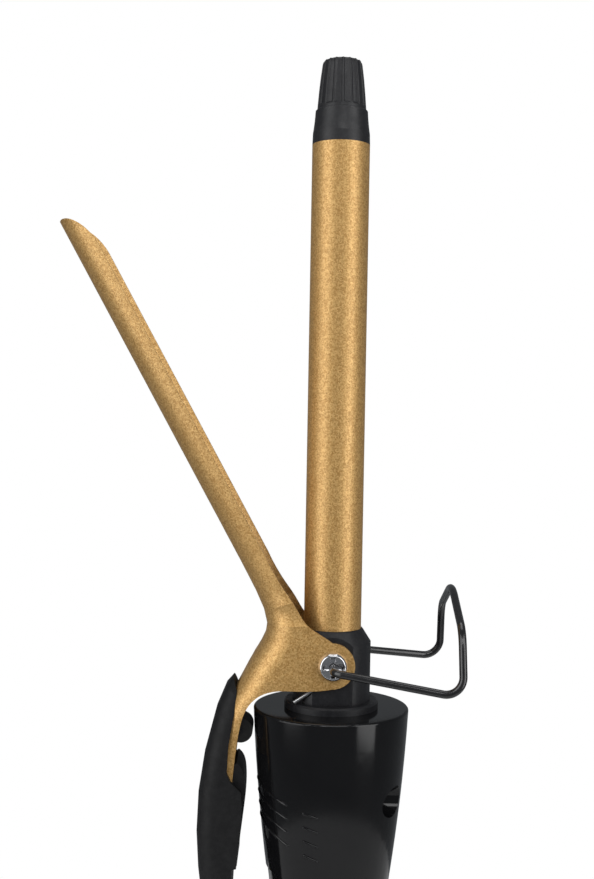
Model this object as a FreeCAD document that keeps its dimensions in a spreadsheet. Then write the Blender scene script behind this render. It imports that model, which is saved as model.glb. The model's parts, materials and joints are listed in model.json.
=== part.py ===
import FreeCAD, Part
import math
import os
import re

import Sketcher
from FreeCAD import Rotation, Vector

# A spring-clamp curling iron. Every piece is drawn in millimetres about the clamp's pivot, with +Z up the
# barrel, the clamp opening towards -X and the wire stand on the +X side. Its Placement then lifts it by
# pivot_height, so that the finished frame's origin is on the handle's axis, in the middle of the grip.

SIZES = {
    "pivot_height": 75.0,
    # barrel and tip
    "barrel_radius": 7.95,
    "barrel_wall": 0.8,
    "barrel_foot": 4.0,
    "barrel_top": 142.0,
    "collar_top": 151.5,
    "collar_top_radius": 7.2,
    "collar_bore": 4.0,
    "tip_top": 165.0,
    "tip_root_radius": 6.8,
    "tip_end_radius": 5.1,
    "flute_depth": 0.45,
    "flute_radius": 1.1,
    "flute_count": 16.0,
    # heater
    "spreader_foot": 14.0,
    "spreader_top": 134.0,
    "ptc_width": 10.0,
    "ptc_thickness": 2.0,
    "ptc_foot": 20.0,
    "ptc_length": 110.0,
    "film_thickness": 0.4,
    "lead_radius": 0.9,
    "lead_offset": 1.35,
    "lead_end": -78.0,
    "fuse_radius": 1.5,
    "fuse_length": 9.0,
    "fuse_height": -40.0,
    # neck
    "neck_radius": 10.7,
    "neck_flat": 9.2,
    "neck_bore": 3.2,
    "neck_top": 9.0,
    "cone_foot": 5.3,
    "cone_top_radius": 8.5,
    "flange_radius": 13.0,
    "flange_top": -10.9,
    "foot_flange_depth": 7.0,
    # pivot screws
    "screw_radius": 2.0,
    "screw_head_radius": 4.1,
    "screw_head_height": 2.1,
    "screw_head_seat": 10.42,
    "screw_end": 3.9,
    "screw_hole_depth": 3.2,
    "running_fit": 0.06,
    # clamp
    "open_angle": 29.0,
    "sheet_thickness": 1.0,
    "ear_radius": 6.0,
    "insert_half_width": 7.4,
    "bumper_radius": 3.35,
    "bumper_half_width": 4.5,
    "bumper_pin_radius": 0.8,
    "rivet_radius": 1.4,
    "rivet_flange": 1.2,
    "rivet_head": 1.2,
    "rivet_start": -34.4,
    # torsion spring
    "spring_wire": 1.1,
    "spring_coil": 2.75,
    "spring_pocket": 3.5,
    "spring_inner_side": 6.0,
    # stand
    "stand_wire_radius": 1.05,
    "stand_side": 18.5,
    "stand_corner_side": 26.8,
    "stand_reach": 33.2,
    "stand_drop": 4.1,
    "stand_rise": 20.8,
    "stand_pin_bend": 2.6,
    "stand_corner_bend": 4.5,
    # handle
    "handle_top": -13.0,
    "handle_foot": -132.0,
    "handle_wall": 2.4,
    "rim_radius": 21.5,
    "rim_edge": 0.6,
    "shoulder_radius": 17.05,
    "shoulder_height": -59.8,
    "shoulder_curve": 520.0,
    "waist_radius": 14.6,
    "waist_height": -95.0,
    "waist_curve": 270.0,
    "foot_radius": 15.6,
    "foot_curve": 720.0,
    "deck_thickness": 3.0,
    "recess_depth": 0.4,
    "recess_half_width": 12.4,
    "recess_top_half_width": 14.4,
    "recess_top": -57.0,
    "recess_foot": -127.0,
    "recess_corner": 4.0,
    "upper_boss_side": 10.0,
    "upper_boss_height": -36.5,
    "lower_boss_height": -122.5,
    "boss_radius": 5.2,
    "boss_seat": 6.0,
    "head_bore": 4.2,
    "handle_screw_radius": 1.5,
    "handle_screw_head": 3.2,
    "handle_screw_reach": 9.0,
    # switch plate and what it carries
    "plate_face": 15.8,
    "plate_back": 13.0,
    "plate_half_width": 7.0,
    "plate_top": -78.0,
    "plate_foot": -118.0,
    "plate_corner": 4.0,
    "rocker_height": -86.5,
    "rocker_half_width": 3.8,
    "rocker_half_length": 5.8,
    "rocker_axis": 14.4,
    "rocker_pin": 0.9,
    "rocker_tilt": 6.0,
    "lens_height": -96.5,
    "lens_radius": 2.0,
    "dial_height": -108.0,
    "dial_radius": 6.5,
    "dial_face": 19.4,
    "dial_back": 16.1,
    "dial_shaft": 1.5,
    "board_front": 6.5,
    "board_thickness": 1.2,
    "board_half_width": 8.6,
    "board_top": -79.0,
    "board_foot": -116.0,
    # rear cap and cord outlet
    "cap_foot": -140.0,
    "outlet_radius": 6.5,
    "outlet_foot": -160.0,
    "outlet_foot_radius": 4.7,
    "cord_bore": 3.5,
}

UPRIGHT = Rotation()
ALONG_X = Rotation(Vector(0, 1, 0), 90)
ALONG_Y = Rotation(Vector(1, 0, 0), -90)

doc = FreeCAD.newDocument("curling_iron")
sheet = doc.addObject("Spreadsheet::Sheet", "Sizes")
nodes = []


def fill_sheet():
    """Write every driving dimension into the sheet, beside its alias."""
    for row, (alias, number) in enumerate(SIZES.items(), start=1):
        sheet.set(f"A{row}", alias)
        sheet.set(f"B{row}", str(number))
        sheet.setAlias(f"B{row}", alias)
    doc.recompute()


def bound(text):
    """The expression with each size's name looked up in the sheet."""
    return re.sub(r"[a-z]+(?:_[a-z]+)+", lambda name: "Sizes." + name.group(0), text)


def size(text):
    """The number that an expression of the sheet's sizes comes to."""
    return float(sheet.evalExpression(bound(text)))


def bind(piece, **sizes):
    """Drive the piece's properties from the sheet."""
    for name, text in sizes.items():
        piece.setExpression(name, bound(text))


def place(piece, x="0", y="0", z="0", turn=UPRIGHT):
    """Put the piece at a point bound to the sheet."""
    piece.Placement = FreeCAD.Placement(Vector(size(x), size(y), size(z)), turn)
    for axis, text in zip("xyz", (x, y, z)):
        piece.setExpression(f".Placement.Base.{axis}", bound(text))
    return piece


def cylinder(name, radius, height, x="0", y="0", z="0", turn=UPRIGHT):
    piece = doc.addObject("Part::Cylinder", name)
    bind(piece, Radius=radius, Height=height)
    return place(piece, x, y, z, turn)


def cone(name, radius1, radius2, height, x="0", y="0", z="0", turn=UPRIGHT):
    piece = doc.addObject("Part::Cone", name)
    bind(piece, Radius1=radius1, Radius2=radius2, Height=height)
    return place(piece, x, y, z, turn)


def box(name, x, y, z):
    """A box between (low, high) expressions along each axis."""
    piece = doc.addObject("Part::Box", name)
    bind(
        piece,
        Length=f"({x[1]}) - ({x[0]})",
        Width=f"({y[1]}) - ({y[0]})",
        Height=f"({z[1]}) - ({z[0]})",
    )
    return place(piece, x[0], y[0], z[0])


def fuse(name, *pieces):
    joined = doc.addObject("Part::MultiFuse", name)
    joined.Shapes = list(pieces)
    return joined


def cut(name, base, *tools):
    result = doc.addObject("Part::Cut", name)
    result.Base = base
    result.Tool = tools[0] if len(tools) == 1 else fuse(name + "_tools", *tools)
    return result


def group(name, *pieces):
    """Identical fasteners, kept as separate solids in one node."""
    together = doc.addObject("Part::Compound", name)
    together.Links = list(pieces)
    return together


def feature(name, shape):
    """A piece whose shape neither a body nor a primitive can give."""
    piece = doc.addObject("Part::Feature", name)
    piece.Shape = shape
    return piece


def both_sides(make, name):
    """Make a piece on the -Y side and its twin on the +Y side."""
    return [make(name + "_near", -1), make(name + "_far", 1)]


def origin_plane(body, role):
    return next(plane for plane in body.Origin.OriginFeatures if plane.Role == role)


def outline_sketch(body, name, role, corners):
    """A closed outline in one of the body's origin planes, with every corner bound to the sheet.

    A corner is (across, up) or (across, up, radius). The radius makes the line to the next corner an arc,
    which bulges to the left of its direction, or to the right where the radius has a minus sign.
    """
    sketch = body.newObject("Sketcher::SketchObject", name)
    sketch.AttachmentSupport = [(origin_plane(body, role), "")]
    sketch.MapMode = "FlatFace"
    ends = []
    points = [Vector(size(corner[0]), size(corner[1]), 0) for corner in corners]
    for index, corner in enumerate(corners):
        start = points[index]
        stop = points[(index + 1) % len(points)]
        if len(corner) == 2:
            edge = sketch.addGeometry(Part.LineSegment(start, stop))
            ends.append((edge, 1, 2))
            continue
        radius = size(corner[2].lstrip("-"))
        side = -1 if corner[2].startswith("-") else 1
        chord = stop - start
        left = Vector(-chord.y, chord.x, 0).normalize()
        reach = math.sqrt(radius**2 - chord.Length**2 / 4)
        centre = (start + stop) / 2 - left * side * reach
        first, last = (stop, start) if side > 0 else (start, stop)
        angles = [math.atan2(end.y - centre.y, end.x - centre.x) for end in (first, last)]
        circle = Part.Circle(centre, Vector(0, 0, 1), radius)
        edge = sketch.addGeometry(Part.ArcOfCircle(circle, *angles))
        ends.append((edge, 2, 1) if side > 0 else (edge, 1, 2))
        pin = sketch.addConstraint(Sketcher.Constraint("Radius", edge, radius))
        sketch.setExpression(f"Constraints[{pin}]", bound(corner[2].lstrip("-")))
    for index, corner in enumerate(corners):
        edge, start, stop = ends[index]
        following = ends[(index + 1) % len(ends)]
        sketch.addConstraint(Sketcher.Constraint("Coincident", edge, stop, following[0], following[1]))
        for kind, axis, text in (("DistanceX", -2, corner[0]), ("DistanceY", -1, corner[1])):
            if text == "0":
                sketch.addConstraint(Sketcher.Constraint("PointOnObject", edge, start, axis))
                continue
            pin = sketch.addConstraint(Sketcher.Constraint(kind, -1, 1, edge, start, size(text)))
            sketch.setExpression(f"Constraints[{pin}]", bound(text))
    return sketch


def turned(name, corners, angle=360.0, role="XZ_Plane", backwards=False):
    """A body turned about its own Z axis from (radius, height) corners."""
    body = doc.addObject("PartDesign::Body", name)
    sketch = outline_sketch(body, name + "_section", role, corners)
    solid = body.newObject("PartDesign::Revolution", name + "_turned")
    solid.Profile = sketch
    solid.ReferenceAxis = (sketch, ["V_Axis"])
    solid.Angle = angle
    solid.Reversed = backwards
    return body


def padded(name, corners, depth, role="XZ_Plane"):
    """A body padded equally to both sides of one of its origin planes."""
    body = doc.addObject("PartDesign::Body", name)
    sketch = outline_sketch(body, name + "_outline", role, corners)
    solid = body.newObject("PartDesign::Pad", name + "_pad")
    solid.Profile = sketch
    solid.Midplane = True
    solid.setExpression("Length", bound(depth))
    return body


def node(piece, label, on_clamp=False):
    """Name a finished piece, lift it to its place and lean the clamp's pieces back to their open pose."""
    if piece.TypeId in ("Part::Box", "Part::Cylinder"):
        piece = group(piece.Name + "_piece", piece)
    piece.Label = label
    lean = -size("open_angle") if on_clamp else 0
    piece.Placement = FreeCAD.Placement(Vector(0, 0, size("pivot_height")), Rotation(Vector(0, 1, 0), lean))
    piece.setExpression(".Placement.Base.z", bound("pivot_height"))
    nodes.append(piece)


def make_barrel_and_tip():
    inner = "barrel_radius - barrel_wall"
    tube = cylinder("tube_outside", "barrel_radius", "barrel_top - barrel_foot", z="barrel_foot")
    hollow = cylinder("tube_inside", inner, "barrel_top - barrel_foot + 2", z="barrel_foot - 1")
    node(cut("barrel", tube, hollow), "barrel_tube")

    collar = turned(
        "collar",
        [
            ("collar_bore", "barrel_top - 7"),
            ("barrel_radius - barrel_wall - 0.05", "barrel_top - 7"),
            ("barrel_radius - barrel_wall - 0.05", "barrel_top"),
            ("barrel_radius", "barrel_top"),
            ("barrel_radius - 0.1", "barrel_top + 3", "60"),
            ("collar_top_radius", "collar_top - 0.3"),
            ("collar_top_radius - 0.3", "collar_top"),
            ("collar_bore", "collar_top"),
        ],
    )
    node(collar, "tip_collar")

    tip = turned(
        "tip",
        [
            ("0", "barrel_top"),
            ("collar_bore - 0.05", "barrel_top"),
            ("collar_bore - 0.05", "collar_top"),
            ("tip_root_radius", "collar_top"),
            ("tip_root_radius - 0.15", "collar_top + 3.5"),
            ("tip_end_radius", "tip_top - 1.6"),
            ("tip_end_radius - 0.9", "tip_top"),
            ("0", "tip_top"),
        ],
    )
    flutes = []
    count = int(size("flute_count"))
    lean = math.degrees(
        math.atan2(size("tip_root_radius - tip_end_radius"), size("tip_top - collar_top - 5"))
    )
    for index in range(count):
        flute = doc.addObject("Part::Cylinder", f"flute_{index}")
        bind(flute, Radius="flute_radius", Height="tip_top - collar_top")
        turn = Rotation(Vector(0, 0, 1), 360 / count * index) * Rotation(Vector(0, 1, 0), -lean)
        reach = size("tip_root_radius - 0.3 + flute_radius - flute_depth")
        foot = Rotation(Vector(0, 0, 1), 360 / count * index).multVec(Vector(reach, 0, 0))
        flute.Placement = FreeCAD.Placement(foot + Vector(0, 0, size("collar_top + 3.4")), turn)
        flutes.append(flute)
    node(cut("fluted_tip", tip, *flutes), "cool_tip")


def make_heater():
    for label, side in (("heat_spreader_front", -1), ("heat_spreader_back", 1)):
        round_bar = cylinder(
            label + "_bar",
            "barrel_radius - barrel_wall - 0.1",
            "spreader_top - spreader_foot",
            z="spreader_foot",
        )
        gap = "ptc_thickness / 2 + film_thickness + 0.05"
        away = (f"-({gap})", "10") if side < 0 else ("-10", gap)
        keep = box(label + "_slot", ("-10", "10"), away, ("spreader_foot - 1", "spreader_top + 1"))
        node(cut(label + "_half", round_bar, keep), label)
    ptc_box = (
        ("-ptc_width / 2", "ptc_width / 2"),
        ("-ptc_thickness / 2", "ptc_thickness / 2"),
        ("ptc_foot", "ptc_foot + ptc_length"),
    )
    node(box("ptc", *ptc_box), "ptc_heater")
    sleeve = box(
        "film_outside",
        ("-ptc_width / 2 - film_thickness", "ptc_width / 2 + film_thickness"),
        ("-ptc_thickness / 2 - film_thickness", "ptc_thickness / 2 + film_thickness"),
        ("ptc_foot - 3", "ptc_foot + ptc_length + 1"),
    )
    core = box("film_inside", ptc_box[0], ptc_box[1], ("ptc_foot - 4", "ptc_foot + ptc_length + 2"))
    node(cut("film", sleeve, core), "insulation_film")

    spans = (
        ("lead_live", "-lead_offset", "lead_end", "ptc_foot"),
        ("lead_fused", "lead_offset", "fuse_height + fuse_length", "ptc_foot"),
        ("lead_return", "lead_offset", "lead_end", "fuse_height"),
    )
    leads = [
        cylinder(name, "lead_radius", f"({top}) - ({foot})", x=x, z=foot) for name, x, foot, top in spans
    ]
    node(group("leads", *leads), "heater_leads")
    fuse_case = cylinder("fuse_case", "fuse_radius", "fuse_length", x="lead_offset + 0.3", z="fuse_height")
    node(fuse_case, "thermal_fuse")


def rod(start, stop, radius):
    along = stop - start
    return Part.makeCylinder(radius, along.Length, start, along)


def spring_legs():
    """On the +Y side: the lower leg's foot and top, the upper leg's start, and the bridge's end."""
    coil = size("spring_coil")
    foot = Vector(-10.3, 8.45, size("flange_top + spring_wire / 2"))
    bridge = Vector(-19.2, 6.78, -1.2)
    touches = []
    for point, side in ((foot, 1), (bridge, -1)):
        reach = math.hypot(point.x, point.z)
        angle = math.atan2(point.z, point.x) + side * math.acos(coil / reach)
        touches.append(Vector(coil * math.cos(angle), foot.y, coil * math.sin(angle)))
    return foot, touches[0], touches[1], bridge


def make_neck():
    neck = turned(
        "neck_blank",
        [
            ("neck_bore", "handle_top - foot_flange_depth"),
            ("flange_radius", "handle_top - foot_flange_depth"),
            ("flange_radius", "handle_top - deck_thickness"),
            ("9.5", "handle_top - deck_thickness"),
            ("9.5", "handle_top"),
            ("flange_radius", "handle_top"),
            ("flange_radius", "flange_top - 0.5"),
            ("flange_radius - 0.5", "flange_top"),
            ("neck_radius", "flange_top"),
            ("neck_radius", "cone_foot"),
            ("cone_top_radius", "neck_top - 0.3"),
            ("cone_top_radius - 0.3", "neck_top"),
            ("barrel_radius + 0.03", "neck_top"),
            ("barrel_radius + 0.03", "barrel_foot"),
            ("neck_bore", "barrel_foot"),
        ],
    )

    def flat(name, side):
        reach = ("-20", "-neck_flat") if side < 0 else ("neck_flat", "20")
        return box(name, ("-20", "20"), reach, ("flange_top", "neck_top + 1"))

    def screw_hole(name, side):
        start = "-neck_radius" if side < 0 else "screw_end"
        return cylinder(name, "screw_radius", "neck_radius - screw_end", y=start, turn=ALONG_Y)

    def coil_pocket(name, side):
        start = "-neck_radius" if side < 0 else "spring_inner_side"
        depth = "neck_radius - spring_inner_side"
        return cylinder(name, "spring_pocket", depth, y=start, turn=ALONG_Y)

    def leg_slot(name, side):
        reach = ("-neck_radius", "-spring_inner_side") if side < 0 else ("spring_inner_side", "neck_radius")
        return box(name, ("-neck_radius - 1", "0"), reach, ("-0.8", "spring_pocket"))

    foot, lower, *_ = spring_legs()
    groove = rod(foot, lower, size("spring_wire") / 2 + 0.3)
    tools = [feature("neck_groove", groove.fuse(groove.mirror(Vector(0, 0, 0), Vector(0, 1, 0))))]
    for name, make in (("flat", flat), ("hole", screw_hole), ("pocket", coil_pocket), ("slot", leg_slot)):
        tools += both_sides(make, "neck_" + name)
    node(cut("neck_body", neck, *tools), "neck")

    def pivot_screw(name, side):
        """A pan-head screw with a cross recess, bored for the stand wire, pointing in from one side."""
        head = "screw_head_seat" if side > 0 else "-screw_head_seat - screw_head_height"
        shank_start = "screw_end" if side > 0 else "-screw_head_seat"
        shank = cylinder(name + "_shank", "screw_radius", "screw_head_seat - screw_end", y=shank_start,
                         turn=ALONG_Y)
        radii = ("screw_head_radius", "screw_head_radius - 1.2")
        radii = radii if side > 0 else radii[::-1]
        pan = cone(name + "_pan", *radii, "screw_head_height", y=head, turn=ALONG_Y)
        face = "screw_head_seat + screw_head_height"
        hole_start = f"{face} - screw_hole_depth" if side > 0 else f"-({face}) - 1"
        hole = cylinder(name + "_hole", "stand_wire_radius + running_fit", "screw_hole_depth + 1",
                        y=hole_start, turn=ALONG_Y)
        depth = (f"{face} - 1.3", f"{face} + 1") if side > 0 else (f"-({face}) - 1", f"-({face}) + 1.3")
        slot = box(name + "_slot", ("-2.3", "2.3"), depth, ("-0.5", "0.5"))
        cross = box(name + "_cross", ("-0.5", "0.5"), depth, ("-2.3", "2.3"))
        return cut(name, fuse(name + "_solid", shank, pan), hole, slot, cross)

    node(group("screws", *both_sides(pivot_screw, "pivot_screw")), "pivot_screws")


# The clamp is drawn closed, against the barrel. Each station of its pressed sheet is a channel section:
# crown point (x, z), half width, bend radius and depth of its side walls.
CLAMP_STATIONS = (
    (-9.4, 144.0, 9.4, 9.4, 7.5),
    (-9.4, 36.0, 9.4, 9.4, 7.5),
    (-9.5, 27.0, 9.6, 9.2, 8.6),
    (-9.9, 21.5, 9.9, 8.9, 13.0),
    (-10.9, 17.7, 10.2, 8.5, 24.0),
    (-12.6, 15.4, 10.3, 8.2, 29.0),
    (-14.9, 13.7, 10.3, 8.0, 28.0),
    (-18.0, 11.9, 10.3, 7.8, 23.0),
    (-21.2, 9.8, 10.3, 7.4, 17.0),
    (-24.6, 7.5, 10.1, 7.0, 13.0),
    (-28.6, 4.9, 9.5, 6.0, 10.0),
    (-33.5, 0.8, 8.6, 5.0, 9.0),
    (-39.8, -6.6, 7.8, 4.0, 8.5),
    (-44.2, -13.3, 7.6, 3.6, 8.5),
    (-50.0, -23.8, 7.6, 3.6, 8.0),
    (-55.8, -35.4, 7.6, 3.6, 7.5),
    (-59.1, -42.7, 7.6, 3.6, 7.5),
)
FIRST_LEVER_STATION = 9
EAR_UPPER_EDGE = ((-2.15, 34.0), (-2.0, 24.6), (-1.4, 18.5), (-0.9, 12.9), (0.9, 9.2), (2.9, 5.5))
EAR_LOWER_EDGE = ((-3.1, -5.4), (-7.6, -3.6), (-12.3, -1.1), (-16.2, 1.0), (-20.2, 2.1), (-23.3, 1.8))
LEVER_INNER_EDGE = (
    (-23.3, 1.8),
    (-26.3, 0.5),
    (-29.1, -1.9),
    (-33.6, -7.4),
    (-39.3, -15.6),
    (-45.7, -26.1),
    (-51.8, -37.6),
    (-55.4, -44.7),
)
BLADE_END = ((-9.3, 141.7), (-7.4, 141.1), (-4.9, 138.7), (-3.0, 134.9), (-2.15, 130.0))

# The thumb grip and its insert are drawn as they stand with the clamp open.
GRIP_STATIONS = (
    (-27.1, -4.7, 5.6, 4.2, 6.0),
    (-29.1, -7.2, 7.2, 4.6, 8.0),
    (-31.8, -13.9, 8.6, 5.0, 11.0),
    (-34.6, -25.0, 9.2, 5.2, 13.0),
    (-36.2, -36.1, 9.3, 5.2, 15.0),
    (-36.6, -47.2, 9.3, 5.2, 15.0),
    (-36.0, -57.0, 9.3, 5.2, 14.0),
    (-34.9, -66.0, 9.0, 5.2, 12.0),
    (-32.5, -76.0, 8.0, 5.0, 9.0),
)
GRIP_END = ((-33.3, -72.0), (-31.3, -74.6), (-28.6, -73.6))
GRIP_INSIDE = (
    (-28.6, -73.6),
    (-26.9, -68.0),
    (-26.5, -56.3),
    (-25.3, -56.0),
    (-24.8, -49.2),
    (-24.2, -44.8),
    (-24.0, -38.5),
    (-24.4, -35.0),
    (-27.2, -32.4),
    (-28.3, -30.0),
    (-28.0, -23.0),
    (-26.6, -14.0),
    (-26.0, -8.1),
    (-27.1, -4.7),
)
INSERT_FACE = (
    (-25.7, -27.6),
    (-24.3, -29.2),
    (-23.5, -32.5),
    (-23.4, -37.0),
    (-24.1, -45.0),
    (-25.2, -55.8),
)
INSERT_BACK = (
    (-25.2, -55.8),
    (-27.0, -56.0),
    (-27.2, -45.0),
    (-26.9, -36.0),
    (-26.75, -28.2),
    (-25.7, -27.6),
)
RIVETS = ((-39.0, -23.75), (-50.5, -24.85))
BUMPER_AT = (-24.9, -19.3)


def flat_points(points):
    return [Vector(x, 0, z) for x, z in points]


def smooth_edge(points):
    """One spline edge through points of the XZ plane."""
    curve = Part.BSplineCurve()
    curve.interpolate(flat_points(points))
    return curve.toShape()


def straight_edges(points):
    corners = flat_points(points)
    return [Part.makeLine(start, stop) for start, stop in zip(corners, corners[1:])]


def slab(edges, half_width):
    """The closed outline's solid, reaching half_width to both sides of the XZ plane."""
    face = Part.Face(Part.Wire(Part.__sortEdges__(edges)))
    face.translate(Vector(0, -half_width, 0))
    return face.extrude(Vector(0, 2 * half_width, 0))


def channel_half(half_width, bend, depth):
    """Evenly spaced (depth, side) points from the crown's middle to the edge of a channel section."""
    flat = half_width - bend
    sweep = math.acos(max(1 - depth / bend, 0))
    wall = max(depth - bend, 0)
    steps = 12
    points = []
    for step in range(steps + 1):
        along = (flat + bend * sweep + wall) * step / steps
        if along <= flat:
            points.append((0, along))
        elif along <= flat + bend * sweep:
            angle = (along - flat) / bend
            points.append((bend * (1 - math.cos(angle)), flat + bend * math.sin(angle)))
        else:
            points.append((bend + along - flat - bend * sweep, half_width))
    return points


def channel_curve(crown, inward, half_width, bend, depth, inset):
    """The section's curve from edge to edge, inset by the sheet's thickness for its inside."""
    half = channel_half(half_width - inset, bend - inset, depth - inset)
    whole = [(deep, -side) for deep, side in reversed(half)] + half[1:]
    curve = Part.BSplineCurve()
    curve.interpolate([crown + inward * (deep + inset) + Vector(0, side, 0) for deep, side in whole])
    return curve.toShape()


def channel_sections(stations, whole_spine, thickness):
    """Closed section wires along the crown. With no thickness they close straight across."""
    spine = Part.BSplineCurve()
    spine.interpolate([Vector(x, 0, z) for x, z, *_ in whole_spine])
    wires = []
    for x, z, half_width, bend, depth in stations:
        crown = Vector(x, 0, z)
        along = Vector(*spine.tangent(spine.parameter(crown))[0])
        inward = Vector(-along.z, 0, along.x)
        outer = channel_curve(crown, inward, half_width, bend, depth, 0)
        if not thickness:
            closing = [Part.makeLine(outer.lastVertex().Point, outer.firstVertex().Point)]
        else:
            inner = channel_curve(crown, inward, half_width, bend, depth, thickness)
            closing = [
                Part.makeLine(outer.lastVertex().Point, inner.lastVertex().Point),
                inner,
                Part.makeLine(inner.firstVertex().Point, outer.firstVertex().Point),
            ]
        wires.append(Part.Wire(Part.__sortEdges__([outer] + closing)))
    return wires


def leaned(shape):
    """The shape turned about the pivot from the closed clamp to the open one."""
    turned_shape = shape.copy()
    turned_shape.rotate(Vector(0, 0, 0), Vector(0, 1, 0), -size("open_angle"))
    return turned_shape


def rivet_solids(fit, clearance):
    """The grip's rivets, just below the insert's face, or what cuts their holes: wider by fit, and
    longer past the heads by clearance."""
    solids = []
    radius = size("rivet_radius") + fit
    for height, end in RIVETS:
        start = size("rivet_start")
        shank = Part.makeCylinder(radius, end - start, Vector(start, 0, height), Vector(1, 0, 0))
        thickness = size("rivet_head")
        head_radius = radius + size("rivet_flange")
        seat = Vector(end - thickness, 0, height)
        head = Part.makeCylinder(head_radius, thickness + clearance, seat, Vector(1, 0, 0))
        solids.append(shank.fuse(head).removeSplitter())
    return solids


def make_clamp():
    sheet_sections = channel_sections(CLAMP_STATIONS, CLAMP_STATIONS, size("sheet_thickness"))
    sheet_blank = Part.makeLoft(sheet_sections, True, True)
    boss = Part.Arc(
        Vector(2.9, 0, 5.5), Vector(size("ear_radius"), 0, -0.6), Vector(-3.1, 0, -5.4)
    ).toShape()
    outline = [
        smooth_edge(EAR_UPPER_EDGE),
        boss,
        smooth_edge(EAR_LOWER_EDGE),
        smooth_edge(LEVER_INNER_EDGE),
        *straight_edges(
            (LEVER_INNER_EDGE[-1], (-59.8, -42.6), (-66, -40), (-40, 20), (-14, 24), (-14, 141.7),
             BLADE_END[0])
        ),
        smooth_edge(BLADE_END),
        *straight_edges((BLADE_END[-1], EAR_UPPER_EDGE[0])),
    ]
    pressed = sheet_blank.common(slab(outline, 20))
    hole = Part.makeCylinder(
        size("screw_radius + running_fit"), 40, Vector(0, -20, 0), Vector(0, 1, 0)
    )
    rivets = rivet_solids(0.03, 3.0)
    closed_rivets = []
    for rivet in rivets:
        rivet = rivet.copy()
        rivet.rotate(Vector(0, 0, 0), Vector(0, 1, 0), size("open_angle"))
        closed_rivets.append(rivet)
    blade = pressed.cut([hole] + closed_rivets)
    node(feature("clamp_sheet", blade), "clamp_blade", on_clamp=True)

    lever_stations = CLAMP_STATIONS[FIRST_LEVER_STATION:]
    lever_core = Part.makeLoft(channel_sections(lever_stations, CLAMP_STATIONS, 0), True, True)
    lever_core = leaned(lever_core.common(slab(outline, 20)))
    insert_edges = [smooth_edge(INSERT_FACE), *straight_edges(INSERT_BACK)]
    insert = slab(insert_edges, size("insert_half_width"))
    grip_edges = [
        smooth_edge(GRIP_END),
        *straight_edges(GRIP_INSIDE + ((-45.0, -4.7), (-45.0, -72.0), GRIP_END[0])),
    ]
    block = Part.makeLoft(channel_sections(GRIP_STATIONS, GRIP_STATIONS, 0), True, True)
    block = block.common(slab(grip_edges, 12))
    pocket = slab(insert_edges, size("insert_half_width") + 0.05)
    grip = block.cut([lever_core, pocket] + rivets)
    node(feature("grip_moulding", grip), "thumb_grip")
    node(feature("insert_moulding", insert.cut([lever_core] + rivets)), "grip_insert")
    node(feature("rivets", Part.makeCompound(rivet_solids(0, 0))), "grip_rivets")

    x, z = BUMPER_AT
    half = size("bumper_half_width")
    roll = Part.makeCylinder(size("bumper_radius"), 2 * half, Vector(x, -half, z), Vector(0, 1, 0))
    foot = Part.makeBox(3.8, 2 * half - 2, 3.4, Vector(x - 3.9, 1 - half, z - 1.7))
    pin_length = 2 * half + 0.8
    pin = Part.makeCylinder(
        size("bumper_pin_radius"), pin_length, Vector(x, -pin_length / 2, z), Vector(0, 1, 0)
    )
    node(feature("bumper_moulding", roll.fuse(foot).cut(pin)), "stop_bumper")
    node(feature("bumper_pin_bar", pin), "bumper_pin")


def rounded_path(points, radii):
    """Straight runs through the points, joined at each inner one by a tangent arc of its radius."""
    edges = []
    here = points[0]
    for before, corner, after, radius in zip(points, points[1:], points[2:], radii):
        arriving = (corner - before).normalize()
        leaving = (after - corner).normalize()
        turn = arriving.getAngle(leaving)
        reach = radius * math.tan(turn / 2)
        start = corner - arriving * reach
        stop = corner + leaving * reach
        inward = (leaving - arriving).normalize()
        middle = corner + inward * (radius / math.cos(turn / 2) - radius)
        edges.append(Part.LineSegment(here, start).toShape())
        edges.append(Part.Arc(start, middle, stop).toShape())
        here = stop
    edges.append(Part.LineSegment(here, points[-1]).toShape())
    return Part.Wire(edges)


def wire_along(path, radius):
    """A round wire along the path."""
    first = path.Edges[0]
    ring = Part.Wire(Part.makeCircle(radius, first.valueAt(first.FirstParameter), first.tangentAt(0)))
    return path.makePipeShell([ring], True, False)


def make_spring():
    """A double torsion spring: turns on each screw, a leg on the flange and a bridge behind the saddle."""
    foot, lower, upper, bridge = spring_legs()
    radius = size("spring_wire") / 2
    side = Vector(0, foot.y, 0)
    coil = size("spring_coil")
    around = (upper - side + lower - side).normalize() * coil + side
    if around.x < 0:
        around = side * 2 - around
    knee = upper + (Vector(bridge.x, upper.y, bridge.z) - upper) * 0.55
    upper_leg = rounded_path([upper, knee, bridge, Vector(bridge.x, 0, bridge.z)], [4.0, 1.2])
    path = Part.Wire([
        Part.LineSegment(foot, lower).toShape(),
        Part.Arc(lower, around, upper).toShape(),
        *upper_leg.Edges,
    ])
    extra_turn = Part.makeTorus(coil, radius, side - Vector(0, 2 * radius - 0.1, 0), Vector(0, 1, 0))
    half = wire_along(path, radius).fuse(extra_turn)
    whole = half.fuse(half.mirror(Vector(0, 0, 0), Vector(0, 1, 0)))
    node(feature("spring_wire_form", whole), "torsion_spring")


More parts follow.
